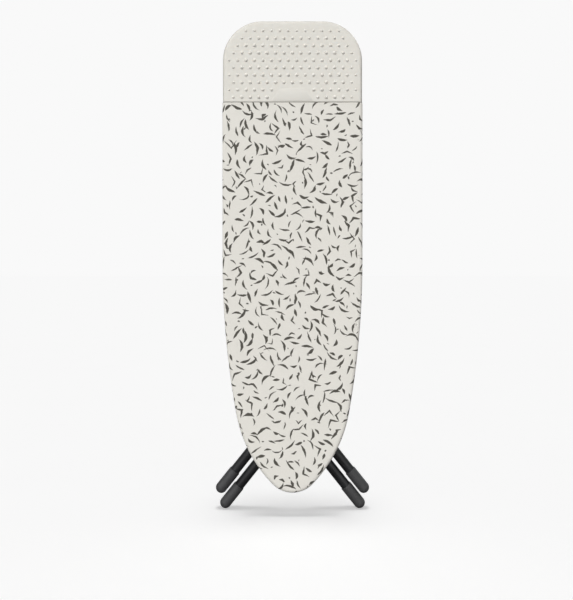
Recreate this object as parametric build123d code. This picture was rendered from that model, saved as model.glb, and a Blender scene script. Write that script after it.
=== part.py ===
"""Folding ironing board, stored upright with its nose down and its legs folded flat behind it.

Frame: Z is up, X is across the board, and the ironing surface faces -Y. The origin lies on the
floor in the middle of the object's box. Sizes are millimetres, and each sub-part is one STEP file.
"""

from build123d import *
from math import asin, cos, degrees, radians, sin, tan
import os

os.makedirs("parts", exist_ok=True)

# ---- Overall sizes ---------------------------------------------------------------------------
overall_height = 1360.0
overall_depth = 85.0
foot_span = 436.0

# ---- Board outline: two arcs make the nose, one long arc its shoulder, and the tail is square --
board_length = 1295.0
board_width = 385.0
nose_tip_radius = 76.0
nose_tip_turn = 45.6
nose_flank_turn = 79.8
shoulder_growth = 37.3
tail_corner_radius = 110.0

# ---- Layers of the board, from the ironing surface backwards -----------------------------------
cover_front = 0.9
edge_wall = 2.4
rest_inset = 1.4
hem_width = 24.0
hem_thickness = 1.0
pad_thickness = 5.8
deck_thickness = 0.8
rim_width = 14.0
rim_depth = 17.0
rim_wall = 1.2
layer_gap = 0.3
iron_rest_length = 224.8
seam_gap = 0.5

# ---- Cross ribs under the deck -----------------------------------------------------------------
rib_wall = 1.2
tail_rib_z = 1250.0
tail_rib_width = 40.0
pivot_rib_width = 60.0
middle_rib_width = 40.0
nose_rib_up = 265.0
nose_rib_width = 40.0

# ---- Legs --------------------------------------------------------------------------------------
tube_radius = 14.0
tube_wall = 1.2
inner_leg_x = 50.0
leg_side_gap = 10.0
splay_angle = 51.4
knee_radius = 90.0
foot_wall = 2.0
foot_sleeve = 61.5
foot_gap = 4.14
foot_lead = 26.04
fixed_pivot_z = 1050.0
cross_pivot_z = 680.0
in_use_angle = 57.0
upper_brace_z = 838.0
lower_brace_z = 250.0
brace_radius = 9.0
brace_wall = 1.2
hub_wall = 7.0
cross_axle_radius = 5.0
open_pivot_gap = 0.4

# ---- Pivots ------------------------------------------------------------------------------------
shaft_radius = 5.0
running_clearance = 0.05
fixed_clearance = 0.1
side_clearance = 0.4
bush_wall = 3.0
bracket_gap = 1.0
bracket_wall = 3.0
bracket_height = 36.0
ear_radius = 12.0
cap_rim = 4.0
cap_length = 3.0
carriage_pin_radius = 4.0
carriage_pin_rim = 3.0
carriage_ear_wall = 2.7
carriage_ear_gap = 0.6

# ---- Carriage on its two guide rods ------------------------------------------------------------
rod_radius = 5.0
rod_x = 18.0
rod_depth = 9.7
rod_bush_wall = 2.0
rod_bush_clearance = 0.06
block_half = 28.0
block_gap = 1.9
block_thickness = 18.9
carriage_block_height = 40.0
carriage_block_drop = 11.0
bridge_thickness = 3.0
bridge_height = 28.0
bridge_drop = 18.0
rod_block_height = 14.0
buffer_length = 4.0
buffer_wall = 3.5
end_gap = 2.5

# ---- Release lever and canted lock plate -------------------------------------------------------
lock_plate_thickness = 4.0
lock_plate_half = 30.0
lock_plate_inset = 0.7
lock_plate_drop = 13.0
lock_hole_clearance = 0.45
lock_tilt = 3.0
spring_radius = 4.0
spring_wire = 0.8
spring_turns = 4
lever_pin_radius = 3.0
lever_pin_gap = 5.0
lever_pin_drop = 9.0
lever_half = 20.0
lever_thickness = 3.0
lever_barrel_radius = 5.5
lever_stand = 0.5
lever_length = 94.0
lever_ear_wall = 2.5
lever_toe_reach = 13.0
lever_toe_half = 8.0
lever_toe_gap = 3.4
grip_half = 22.0
grip_thickness = 11.0
grip_length = 48.0

# ---- Saddles that locate the folded legs -------------------------------------------------------
saddle_wall = 5.0
saddle_height = 24.0
saddle_opening = 2.5
saddle_clearance = 0.4

# ---- Screws and rivets -------------------------------------------------------------------------
rivet_radius = 2.5
rivet_head_radius = 4.2
rivet_head = 1.8
screw_radius = 2.2
screw_head_radius = 4.4
screw_head = 2.4
screw_spread = 6.0

# ---- Places worked out from the sizes above ----------------------------------------------------
front_y = -overall_depth / 2
foot_radius = tube_radius + foot_wall
leg_y = overall_depth / 2 - foot_radius
tail_z = overall_height + rest_inset
nose_z = overall_height - board_length
nose_rib_z = nose_z + nose_rib_up
seam_z = tail_z - iron_rest_length

pad_front = front_y + cover_front + layer_gap
pad_back = pad_front + pad_thickness
deck_front = pad_back + layer_gap
deck_back = deck_front + deck_thickness
rim_back = deck_back + rim_depth
hem_front = rim_back + layer_gap
hem_back = hem_front + hem_thickness
frame_inset = edge_wall + layer_gap
rim_inner = frame_inset + rim_width

outer_leg_x = inner_leg_x + 2 * tube_radius + leg_side_gap
foot_apart = 2 * foot_radius + foot_gap
foot_step_in = foot_apart * sin(radians(splay_angle)) - foot_lead * cos(radians(splay_angle))
foot_step_up = foot_apart * cos(radians(splay_angle)) + foot_lead * sin(radians(splay_angle))
outer_foot = (foot_span / 2 - foot_radius, foot_radius + foot_step_up)
inner_foot = (outer_foot[0] - foot_step_in, foot_radius)

# The two legs cross at one height, and both feet are level with each other when it stands in use.
inner_below = cross_pivot_z - inner_foot[1]
outer_below = cross_pivot_z - outer_foot[1]
inner_above = fixed_pivot_z - cross_pivot_z
outer_above = inner_above * outer_below / inner_below
outer_swing = 180.0 - degrees(asin(sin(radians(in_use_angle)) * inner_below / outer_below))
slide_pivot_z = cross_pivot_z + outer_above
slide_travel = (slide_pivot_z - fixed_pivot_z + inner_above * cos(radians(in_use_angle))
                - outer_above * cos(radians(outer_swing)))

carriage_top = slide_pivot_z - carriage_block_drop
carriage_bottom = carriage_top - carriage_block_height
lock_plate_top = carriage_bottom - lock_plate_drop
lock_plate_bottom = lock_plate_top - lock_plate_thickness
lever_pin_z = carriage_bottom - lever_pin_drop
tail_block_bottom = carriage_top + end_gap
tail_block_top = tail_block_bottom + rod_block_height
nose_block_top = lock_plate_bottom - slide_travel - buffer_length - end_gap - 1.0
nose_block_bottom = nose_block_top - rod_block_height
pivot_rib_z = (tail_block_bottom + fixed_pivot_z + bracket_height / 2) / 2
middle_rib_z = (nose_block_top + nose_block_bottom) / 2

block_front = rim_back + block_gap
block_back = block_front + block_thickness
rod_y = block_front + rod_depth
bridge_front = block_back + layer_gap
bridge_back = bridge_front + bridge_thickness
lock_plate_back = block_back - lock_plate_inset
lever_pin_y = bridge_back + lever_pin_gap
lever_reach = leg_y + lever_stand
saddle_back = leg_y - saddle_opening

bracket_half = inner_leg_x - tube_radius - bracket_gap
saddle_half = tube_radius + saddle_wall
bush_radius = shaft_radius + bush_wall
cap_radius = shaft_radius + cap_rim
hub_radius = cross_axle_radius + hub_wall
carriage_bush_radius = carriage_pin_radius + bush_wall
carriage_pin_head = carriage_pin_radius + carriage_pin_rim
rod_bush_radius = rod_radius + rod_bush_wall
buffer_radius = rod_radius + buffer_wall


def box(x0, x1, y0, y1, z0, z1):
    """A block between two corners."""
    return Pos((x0 + x1) / 2, (y0 + y1) / 2, (z0 + z1) / 2) * Box(x1 - x0, y1 - y0, z1 - z0)


def rounded_box(x0, x1, y0, y1, z0, z1, radius):
    """A block with every edge rounded."""
    block = box(x0, x1, y0, y1, z0, z1)
    return fillet(block.edges(), radius)


def bar_x(radius, x0, x1, y, z):
    """A round bar along X."""
    return Pos((x0 + x1) / 2, y, z) * Rot(0, 90, 0) * Cylinder(radius, abs(x1 - x0))


def bar_y(radius, x, y0, y1, z):
    """A round bar along Y."""
    return Pos(x, (y0 + y1) / 2, z) * Rot(90, 0, 0) * Cylinder(radius, abs(y1 - y0))


def bar_z(radius, x, y, z0, z1):
    """A round bar along Z."""
    return Pos(x, y, (z0 + z1) / 2) * Cylinder(radius, abs(z1 - z0))


def mirrored(shape):
    """The same piece on the other side of the board."""
    return mirror(shape, about=Plane.YZ)


def pair(shape):
    """A piece and its mirror image, as two separate solids."""
    return Compound(children=[shape, mirrored(shape)])


# ---- Board outline -----------------------------------------------------------------------------
def outline_arcs(inset):
    """Centre, radius, start angle and turn of each arc on the right of the outline."""
    half = board_width / 2
    tip, flank = radians(nose_tip_turn), radians(nose_flank_turn)
    flank_radius = ((half - shoulder_growth - nose_tip_radius * sin(tip))
                    / (sin(flank) - sin(tip)))
    shoulder_radius = shoulder_growth / (1 - sin(flank))
    steps = [(nose_tip_radius, 0.0, tip), (flank_radius, tip, flank),
             (shoulder_radius, flank, radians(90))]
    arcs, centre, last = [], (0.0, nose_z), 0.0
    for radius, start, end in steps:
        centre = (centre[0] + (last - radius) * sin(start), centre[1] - (last - radius) * cos(start))
        arcs.append((centre, radius - inset, degrees(start) - 90, degrees(end - start)))
        last = radius
    corner = (half - tail_corner_radius, tail_z - tail_corner_radius)
    arcs.append((corner, tail_corner_radius - inset, 0.0, 90.0))
    return arcs


def outline(inset):
    """The board's outline as a face in X and Z, moved in by the inset all round."""
    edges = [CenterArc(centre, radius, start, turn) for centre, radius, start, turn
             in outline_arcs(inset)]
    edges.append(Line(edges[2] @ 1, edges[3] @ 0))
    edges.append(Line(edges[3] @ 1, (0, tail_z - inset)))
    right = Curve() + edges
    return make_face(right.edges() + mirror(right, about=Plane.YZ).edges())


def slab(inset, y0, y1):
    """The board's outline, as thick as from y0 to y1."""
    return extrude(Plane.XZ.offset(-y1) * outline(inset), amount=y1 - y0)


def zone(z0, z1):
    """Everything between two heights, for cutting the board into its zones."""
    return box(-board_width, board_width, -overall_depth, overall_depth, z0, z1)


def edge_skin(inset, wall_front, lip):
    """A skin over the front and round the edges, with a lip turned in behind the rim."""
    skin = slab(inset, front_y, hem_back)
    skin -= slab(edge_wall, front_y + wall_front, hem_front)
    return skin - slab(edge_wall + lip, hem_front - 1, hem_back + 1)


def cover():
    """The fabric cover: from the nose to the seam, drawn round the rim."""
    return edge_skin(0, cover_front, hem_width) & zone(nose_z - 1, seam_z - seam_gap / 2)


def iron_rest():
    """The moulded heat-proof cap over the tail."""
    return edge_skin(rest_inset, cover_front, hem_width / 2) & zone(seam_z + seam_gap / 2, tail_z + 1)


def foam_pad():
    """The pad under the cover and the cap."""
    return slab(frame_inset, pad_front, pad_back)


def deck():
    """The sheet that the pad lies on."""
    return slab(frame_inset, deck_front, deck_back)


def rim(side):
    """Half of the pressed rim, a channel that is open towards the deck."""
    ring = slab(frame_inset, deck_back, rim_back) - slab(rim_inner, deck_back - 1, rim_back + 1)
    groove = slab(frame_inset + rim_wall, deck_back - 1, rim_back - rim_wall)
    groove -= slab(rim_inner - rim_wall, deck_back - 2, rim_back + 1)
    middle = side * board_width / 2
    half = Pos(middle, 0, overall_height / 2) * Box(board_width, overall_depth, 2 * overall_height)
    return (ring - groove) & half


def rib(z, width):
    """A channel across the board between the two sides of the rim."""
    bar = box(-board_width, board_width, deck_back, rim_back, z - width / 2, z + width / 2)
    bar -= box(-board_width, board_width, deck_back - 1, rim_back - rib_wall,
               z - width / 2 + rib_wall, z + width / 2 - rib_wall)
    return bar & slab(rim_inner + fixed_clearance, deck_back, rim_back)


def drilled_rib(z, width, holes):
    """A rib with its screw and rivet holes."""
    bar = rib(z, width)
    for radius, x, height in holes:
        bar -= bar_y(radius + fixed_clearance, x, deck_back, rim_back + 1, height)
    return bar


def plate_x(x0, x1, profile):
    """A flat plate between two X values, with its profile given in Y and Z."""
    return extrude(Plane.YZ.offset(x0) * profile, amount=x1 - x0)


def ear_profile(base, low, high, eye_y, eye_z, radius):
    """An ear that tapers from a straight base to a round eye."""
    root = Pos(base + 0.5, (low + high) / 2) * Rectangle(1, high - low)
    eye = Pos(eye_y, eye_z) * Circle(radius)
    return make_hull(root.edges() + eye.edges())


# ---- Fixed pivot of the inner leg --------------------------------------------------------------
bracket_back = rim_back + bracket_wall
bracket_low = fixed_pivot_z - bracket_height / 2
bracket_high = fixed_pivot_z + bracket_height / 2
bracket_rivets_at = [(x, fixed_pivot_z + dz) for x in (-22.0, 22.0) for dz in (-10.0, 10.0)]


def pivot_bracket():
    """A U bracket on the pivot rib, with an ear each side for the shaft."""
    bracket = box(-bracket_half, bracket_half, rim_back, bracket_back, bracket_low, bracket_high)
    ear = plate_x(bracket_half - bracket_wall, bracket_half,
                  ear_profile(rim_back, bracket_low, bracket_high, leg_y, fixed_pivot_z, ear_radius))
    bracket = bracket + ear + mirrored(ear)
    bracket -= bar_x(shaft_radius + fixed_clearance, -board_width, board_width, leg_y, fixed_pivot_z)
    for x, z in bracket_rivets_at:
        bracket -= bar_y(rivet_radius + fixed_clearance, x, rim_back - 1, bracket_back + 1, z)
    return bracket


bush_start = bracket_half + side_clearance
bush_end = inner_leg_x + tube_radius + 1.0
cap_start = bush_end + side_clearance


def pivot_shaft():
    """The shaft that the inner leg swings on."""
    return bar_x(shaft_radius, -cap_start - cap_length / 2, cap_start + cap_length / 2,
                 leg_y, fixed_pivot_z)


def shaft_cap():
    """A push-on cap that keeps the leg on the shaft."""
    cap = bar_x(cap_radius, cap_start, cap_start + cap_length, leg_y, fixed_pivot_z)
    cap = chamfer(cap.edges().group_by(Axis.X)[-1], 1.0)
    return cap - bar_x(shaft_radius + fixed_clearance, cap_start - 1,
                       cap_start + cap_length / 2 + fixed_clearance, leg_y, fixed_pivot_z)


def rivet(x, z, grip_front, head_back):
    """A rivet along Y with a low round head."""
    head = bar_y(rivet_head_radius, x, head_back, head_back + rivet_head, z)
    head = chamfer(head.edges().group_by(Axis.Y)[-1], rivet_head * 0.6)
    return head + bar_y(rivet_radius, x, grip_front, head_back, z)


def screw(x, z, point, seat):
    """A round-headed screw along Y, with a cross slot in its head."""
    head = bar_y(screw_head_radius, x, seat, seat + screw_head, z)
    head = chamfer(head.edges().group_by(Axis.Y)[-1], screw_head * 0.45)
    slot = box(x - 0.5, x + 0.5, seat + screw_head - 1, seat + screw_head + 1, z - 2.6, z + 2.6)
    slot += box(x - 2.6, x + 2.6, seat + screw_head - 1, seat + screw_head + 1, z - 0.5, z + 0.5)
    return head + bar_y(screw_radius, x, point, seat, z) - slot


# ---- Legs --------------------------------------------------------------------------------------
def knee_z(leg_x, foot):
    """Where the upright part of a leg meets the line of its splayed part."""
    return foot[1] + (foot[0] - leg_x) * tan(radians(splay_angle))


def leg_tube(leg_x, foot, top):
    """A bent tube in the leg plane, from its pivot down to the middle of its foot."""
    path = FilletPolyline((leg_x, top), (leg_x, knee_z(leg_x, foot)), foot, radius=knee_radius)
    path = Plane.XZ.offset(-leg_y) * path
    start = Plane(origin=path @ 0, x_dir=(1, 1, 0), z_dir=path % 0)
    return sweep(start * Circle(tube_radius), path=path) - sweep(
        start * Circle(tube_radius - tube_wall), path=path)


def crossing(radius, z):
    """A hole across both sides of the board at one height of the legs."""
    return bar_x(radius, -board_width, board_width, leg_y, z)


def rounded_top(leg_x, pivot_z):
    """What rounds the top of a tube about its pivot."""
    block = box(leg_x - 2 * tube_radius, leg_x + 2 * tube_radius, leg_y - 2 * tube_radius,
                leg_y + 2 * tube_radius, pivot_z, pivot_z + 3 * tube_radius)
    return block - bar_x(tube_radius, leg_x - 3 * tube_radius, leg_x + 3 * tube_radius,
                         leg_y, pivot_z)


def inner_tube():
    """One tube of the inner leg, drilled for its pivots."""
    tube = leg_tube(inner_leg_x, inner_foot, fixed_pivot_z + tube_radius)
    tube -= rounded_top(inner_leg_x, fixed_pivot_z)
    tube -= crossing(bush_radius + fixed_clearance, fixed_pivot_z)
    return tube - crossing(cross_axle_radius + fixed_clearance, cross_pivot_z)


def outer_tube():
    """One tube of the outer leg, drilled for its pivots."""
    tube = leg_tube(outer_leg_x, outer_foot, slide_pivot_z + tube_radius)
    tube -= rounded_top(outer_leg_x, slide_pivot_z)
    tube -= crossing(carriage_bush_radius + fixed_clearance, slide_pivot_z)
    return tube - crossing(cross_axle_radius + fixed_clearance, cross_pivot_z)


def foot(place):
    """A moulded foot: a sleeve with a round end, pushed on to the tube."""
    up = (-cos(radians(splay_angle)), 0, sin(radians(splay_angle)))
    plane = Plane(origin=(place[0], leg_y, place[1]), x_dir=(0, 1, 0), z_dir=up)
    upward = (Align.CENTER, Align.CENTER, Align.MIN)
    sleeve = Cylinder(foot_radius, foot_sleeve, align=upward)
    sleeve = chamfer(sleeve.edges().group_by(Axis.Z)[-1], 0.8)
    sleeve += Sphere(foot_radius)
    sleeve -= Pos(0, 0, -fixed_clearance) * Cylinder(tube_radius + fixed_clearance,
                                                     foot_sleeve + 1, align=upward)
    return plane * sleeve


def leg_bush(radius, bore, x0, x1, z):
    """A plain bush along X."""
    return bar_x(radius, x0, x1, leg_y, z) - bar_x(bore, x0 - 1, x1 + 1, leg_y, z)


def leg_brace(z):
    """A tube across the inner leg, cut to fit its two uprights."""
    brace = bar_x(brace_radius, -inner_leg_x, inner_leg_x, leg_y, z)
    brace -= bar_x(brace_radius - brace_wall, -inner_leg_x, inner_leg_x, leg_y, z)
    upright = bar_z(tube_radius + fixed_clearance, inner_leg_x, leg_y, z - 50, z + 50)
    return brace - upright - mirrored(upright)


hub_middle = (inner_leg_x + outer_leg_x) / 2
inner_hub_face = hub_middle - open_pivot_gap / 2
outer_hub_face = hub_middle + open_pivot_gap / 2
hub_pin_end = outer_leg_x + tube_radius + 1.0


def cross_axle():
    """The axle across the inner leg where the two legs cross."""
    return crossing_bar(cross_axle_radius, -inner_hub_face + 0.2, inner_hub_face - 0.2)


def crossing_bar(radius, x0, x1):
    """A bar along X at the height where the legs cross."""
    return bar_x(radius, x0, x1, leg_y, cross_pivot_z)


def spacer_hub(leg_x, face):
    """A saddle-backed spacer between a tube and the other leg."""
    hub = crossing_bar(hub_radius, leg_x, face)
    hub -= bar_z(tube_radius + fixed_clearance, leg_x, leg_y, cross_pivot_z - 50, cross_pivot_z + 50)
    return hub - crossing_bar(cross_axle_radius + fixed_clearance, leg_x, face + (face - leg_x))


def hub_pin():
    """The headed pin through the outer tube and its spacer."""
    head = crossing_bar(cap_radius, hub_pin_end, hub_pin_end + cap_length)
    head = chamfer(head.edges().group_by(Axis.X)[-1], 1.0)
    return head + crossing_bar(cross_axle_radius, outer_hub_face + 0.2, hub_pin_end)


# ---- Carriage ----------------------------------------------------------------------------------
ear_inner_x = outer_leg_x - tube_radius - carriage_ear_gap
ear_outer_x = outer_leg_x + tube_radius + carriage_ear_gap
bridge_high = slide_pivot_z - bridge_drop
bridge_low = bridge_high - bridge_height
carriage_screws_at = [(x, (bridge_high + bridge_low) / 2) for x in (-screw_spread, screw_spread)]
lever_ear_start = lever_half + side_clearance


def carriage_bridge():
    """The pressed plate across the rods, with ears for the outer leg and for the lever."""
    half = ear_outer_x + carriage_ear_wall
    plate = box(-half, half, bridge_front, bridge_back, bridge_low, bridge_high)
    profile = ear_profile(bridge_front, bridge_low, bridge_high, leg_y, slide_pivot_z, ear_radius)
    for x0, x1 in ((ear_inner_x - carriage_ear_wall, ear_inner_x),
                   (ear_outer_x, ear_outer_x + carriage_ear_wall)):
        ear = plate_x(x0, x1, profile)
        plate = plate + ear + mirrored(ear)
    profile = ear_profile(bridge_front, bridge_low, bridge_low + 14, lever_pin_y, lever_pin_z,
                          lever_barrel_radius)
    ear = plate_x(lever_ear_start, lever_ear_start + lever_ear_wall, profile)
    plate = plate + ear + mirrored(ear)
    plate -= crossing(carriage_pin_radius + fixed_clearance, slide_pivot_z)
    plate -= bar_x(lever_pin_radius + fixed_clearance, -block_half - 1, block_half + 1,
                   lever_pin_y, lever_pin_z)
    for x, z in carriage_screws_at:
        plate -= bar_y(screw_radius + fixed_clearance, x, bridge_front - 1, bridge_back + 1, z)
    return plate


def carriage_block():
    """The moulded block that runs on both rods, with a nib that the lock plate tilts on."""
    block = rounded_box(-block_half, block_half, block_front, block_back, carriage_bottom,
                        carriage_top, 1.5)
    nib = box(-block_half / 2, block_half / 2, block_front + 1, block_front + 4,
              lock_plate_top + layer_gap, carriage_bottom + 2)
    block += nib
    block += box(-block_half / 2, block_half / 2, block_back - 2, bridge_front,
                 bridge_low + 4, bridge_high - 4)
    for side in (-1, 1):
        block -= bar_z(rod_bush_radius + fixed_clearance, side * rod_x, rod_y,
                       carriage_bottom - 1, carriage_top + 1)
    for x, z in carriage_screws_at:
        block -= bar_y(screw_radius + fixed_clearance, x, block_front + 4, bridge_front + 1, z)
    return block


def rod_bush():
    """A plain bush in the block, one for each rod."""
    return (bar_z(rod_bush_radius, rod_x, rod_y, carriage_bottom, carriage_top)
            - bar_z(rod_radius + rod_bush_clearance, rod_x, rod_y, carriage_bottom - 1,
                    carriage_top + 1))


def carriage_pin():
    """A headed pin through both ears and the outer tube."""
    start, end = ear_inner_x - carriage_ear_wall, ear_outer_x + carriage_ear_wall
    pin = bar_x(carriage_pin_radius, start - 1.2, end + 2.4, leg_y, slide_pivot_z)
    pin += bar_x(carriage_pin_head - 1, start - 1.2, start, leg_y, slide_pivot_z)
    head = bar_x(carriage_pin_head, end, end + 2.4, leg_y, slide_pivot_z)
    return pin + chamfer(head.edges().group_by(Axis.X)[-1], 0.8)


def guide_rod(side):
    """A guide rod, held at both ends in its blocks."""
    return bar_z(rod_radius, side * rod_x, rod_y, nose_block_bottom, tail_block_top)


def rod_block(low, high):
    """A moulded block that holds one end of both rods against a rib."""
    block = box(-block_half, block_half, rim_back, block_back, low, high)
    block = fillet(block.edges().filter_by(Axis.Z), 2.0)
    for side in (-1, 1):
        block -= bar_z(rod_radius + fixed_clearance, side * rod_x, rod_y, low - 1, high + 1)
    for x, z in rod_block_screws_at((low + high) / 2):
        block -= bar_y(screw_radius + fixed_clearance, x, rim_back - 1, block_back + 1, z)
    return block


def rod_block_screws_at(z):
    """Where a rod block is screwed to its rib."""
    return [(-screw_spread, z), (screw_spread, z)]


def rod_buffer():
    """A rubber ring on a rod, which the carriage meets at the end of its travel."""
    return (bar_z(buffer_radius, rod_x, rod_y, nose_block_top, nose_block_top + buffer_length)
            - bar_z(rod_radius + fixed_clearance, rod_x, rod_y, nose_block_top - 1,
                    nose_block_top + buffer_length + 1))


# ---- Release lever and lock plate --------------------------------------------------------------
lock_pivot_y = block_front + 2.5


def lock_plate():
    """The plate round both rods, canted until the lever squares it."""
    plate = rounded_box(-lock_plate_half, lock_plate_half, block_front, lock_plate_back,
                        lock_plate_bottom, lock_plate_top, 0.8)
    for side in (-1, 1):
        plate -= bar_z(rod_radius + lock_hole_clearance, side * rod_x, rod_y,
                       lock_plate_bottom - 1, lock_plate_top + 1)
    turn = Pos(0, lock_pivot_y, lock_plate_top) * Rot(-lock_tilt, 0, 0)
    return turn * (Pos(0, -lock_pivot_y, -lock_plate_top) * plate)


def lock_spring():
    """The coil spring that cants the lock plate."""
    seat_y = lock_plate_back - spring_radius - spring_wire
    low = lock_plate_top + spring_wire
    high = carriage_bottom - spring_wire
    coil = Helix((high - low) / spring_turns, high - low, spring_radius, center=(0, seat_y, low))
    wire = Plane(origin=coil @ 0, z_dir=coil % 0) * Circle(spring_wire)
    return sweep(wire, path=coil, is_frenet=True)


def release_lever():
    """The bent lever between the inner tubes, squeezed towards the board to free the carriage."""
    knee = (lever_reach, lever_pin_z - lever_reach)
    end = (lever_reach, lever_pin_z - lever_length)
    toe_z = lock_plate_bottom - lever_toe_gap - lever_thickness / 2
    heel = (lever_pin_y - lever_thickness / 2, toe_z)
    toe = (lever_pin_y - lever_toe_reach, toe_z)
    shape = bar_x(lever_barrel_radius, -lever_half, lever_half, lever_pin_y, lever_pin_z)
    for a, b in (((lever_pin_y, lever_pin_z), knee), (knee, end)):
        shape += plate_x(-lever_half, lever_half, strip(a, b, lever_thickness))
    for a, b in (((lever_pin_y, lever_pin_z), heel), (heel, toe)):
        shape += plate_x(-lever_toe_half, lever_toe_half, strip(a, b, lever_thickness))
    return shape - bar_x(lever_pin_radius + rod_bush_clearance, -lever_half - 1, lever_half + 1,
                         lever_pin_y, lever_pin_z)


def strip(a, b, thickness):
    """A strip with round ends between two points."""
    ends = (Pos(*a) * Circle(thickness / 2)).edges() + (Pos(*b) * Circle(thickness / 2)).edges()
    return make_hull(ends)


def lever_grip():
    """The moulded grip on the end of the lever."""
    end = lever_pin_z - lever_length
    grip = rounded_box(-grip_half, grip_half, lever_reach - grip_thickness / 2,
                       lever_reach + grip_thickness / 2, end - 5, end - 5 + grip_length, 4.0)
    slot = box(-lever_half - fixed_clearance, lever_half + fixed_clearance,
               lever_reach - lever_thickness / 2 - fixed_clearance,
               lever_reach + lever_thickness / 2 + fixed_clearance,
               end - lever_thickness / 2 - fixed_clearance, end + grip_length)
    return grip - slot


def lever_pin():
    """The pin that the lever turns on."""
    half = lever_ear_start + lever_ear_wall
    pin = bar_x(lever_pin_radius, -half - 1, half + 1, lever_pin_y, lever_pin_z)
    head = bar_x(lever_pin_radius + 1.5, half, half + 1, lever_pin_y, lever_pin_z)
    return pin + head + mirrored(head)


# ---- Leg saddles -------------------------------------------------------------------------------
def leg_saddle():
    """A moulded saddle on the nose rib that the folded inner tube rests in."""
    saddle = box(inner_leg_x - saddle_half, inner_leg_x + saddle_half, rim_back, saddle_back,
                 nose_rib_z - saddle_height / 2, nose_rib_z + saddle_height / 2)
    saddle = fillet(saddle.edges().filter_by(Axis.Z), 3.0)
    saddle -= bar_z(tube_radius + saddle_clearance, inner_leg_x, leg_y, nose_rib_z - saddle_height,
                    nose_rib_z + saddle_height)
    seat = leg_y - tube_radius - saddle_clearance - screw_head - 1
    saddle -= bar_y(screw_head_radius + 1, inner_leg_x, seat, leg_y, nose_rib_z)
    return saddle - bar_y(screw_radius + fixed_clearance, inner_leg_x, rim_back - 1, seat, nose_rib_z)


def saddle_screw():
    """The screw that holds a saddle to the nose rib."""
    seat = leg_y - tube_radius - saddle_clearance - screw_head - 1
    return screw(inner_leg_x, nose_rib_z, rim_back - rib_wall - 2, seat)


# ---- The parts ---------------------------------------------------------------------------------
rivet_holes = [(rivet_radius, x, z) for x, z in bracket_rivets_at]
tail_block_z = (tail_block_bottom + tail_block_top) / 2
nose_block_z = (nose_block_bottom + nose_block_top) / 2
tail_screw_holes = [(screw_radius, x, z) for x, z in rod_block_screws_at(tail_block_z)]
nose_screw_holes = [(screw_radius, x, z) for x, z in rod_block_screws_at(nose_block_z)]
saddle_screw_holes = [(screw_radius, x, nose_rib_z) for x in (-inner_leg_x, inner_leg_x)]
screw_point = rim_back - rib_wall - 2

parts = {
    "cover": cover(),
    "iron_rest": iron_rest(),
    "foam_pad": foam_pad(),
    "deck": deck(),
    "rim_left": rim(-1),
    "rim_right": rim(1),
    "rib_tail": rib(tail_rib_z, tail_rib_width),
    "rib_pivot": drilled_rib(pivot_rib_z, pivot_rib_width, rivet_holes + tail_screw_holes),
    "rib_middle": drilled_rib(middle_rib_z, middle_rib_width, nose_screw_holes),
    "rib_nose": drilled_rib(nose_rib_z, nose_rib_width, saddle_screw_holes),
    "pivot_bracket": pivot_bracket(),
    "pivot_shaft": pivot_shaft(),
    "pivot_shaft_caps": pair(shaft_cap()),
    "bracket_rivets": Compound(children=[
        rivet(x, z, rim_back - rib_wall - 1, bracket_back) for x, z in bracket_rivets_at]),
    "rod_block_tail": rod_block(tail_block_bottom, tail_block_top),
    "rod_block_nose": rod_block(nose_block_bottom, nose_block_top),
    "rod_block_screws": Compound(children=[
        screw(x, z, screw_point, block_back)
        for height in (tail_block_z, nose_block_z) for x, z in rod_block_screws_at(height)]),
    "guide_rod_left": guide_rod(-1),
    "guide_rod_right": guide_rod(1),
    "rod_buffers": pair(rod_buffer()),
    "leg_saddle_left": mirrored(leg_saddle()),
    "leg_saddle_right": leg_saddle(),
    "saddle_screws": pair(saddle_screw()),
    "inner_tube_left": mirrored(inner_tube()),
    "inner_tube_right": inner_tube(),
    "inner_foot_left": mirrored(foot(inner_foot)),
    "inner_foot_right": foot(inner_foot),
    "inner_pivot_bushes": pair(leg_bush(bush_radius, shaft_radius + running_clearance, bush_start,
                                        bush_end, fixed_pivot_z)),
    "inner_brace_upper": leg_brace(upper_brace_z),
    "inner_brace_lower": leg_brace(lower_brace_z),
    "cross_axle": cross_axle(),
    "inner_spacers": pair(spacer_hub(inner_leg_x, inner_hub_face)),
    "outer_tube_left": mirrored(outer_tube()),
    "outer_tube_right": outer_tube(),
    "outer_foot_left": mirrored(foot(outer_foot)),
    "outer_foot_right": foot(outer_foot),
    "outer_pivot_bushes": pair(leg_bush(carriage_bush_radius, carriage_pin_radius + running_clearance,
                                        ear_inner_x + side_clearance / 2,
                                        ear_outer_x - side_clearance / 2, slide_pivot_z)),
    "outer_spacers": pair(spacer_hub(outer_leg_x, outer_hub_face)),
    "outer_spacer_pins": pair(hub_pin()),
    "carriage_bridge": carriage_bridge(),
    "carriage_block": carriage_block(),
    "carriage_bushes": pair(rod_bush()),
    "carriage_screws": Compound(children=[
        screw(x, z, block_front + 5, bridge_back) for x, z in carriage_screws_at]),
    "carriage_pins": pair(carriage_pin()),
    "lock_spring": lock_spring(),
    "lever_pin": lever_pin(),
    "lock_plate": lock_plate(),
    "release_lever": release_lever(),
    "lever_grip": lever_grip(),
}

for name, shape in parts.items():
    export_step(shape, f"parts/{name}.step")

print("slide pivot", round(slide_pivot_z, 2), "outer swing", round(outer_swing, 3),
      "travel", round(slide_travel, 3), "nodes", len(parts))
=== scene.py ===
"""A folding ironing board, stored upright on its feet, built piece by piece around its frame.

Metres throughout. Z is up, X is across the board, and the ironing surface faces -Y.
"""

from math import ceil, cos, degrees, hypot, pi, radians, sin, sqrt

import bmesh
import bpy
import numpy as np
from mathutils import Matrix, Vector, noise
from mathutils.geometry import delaunay_2d_cdt


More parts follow.
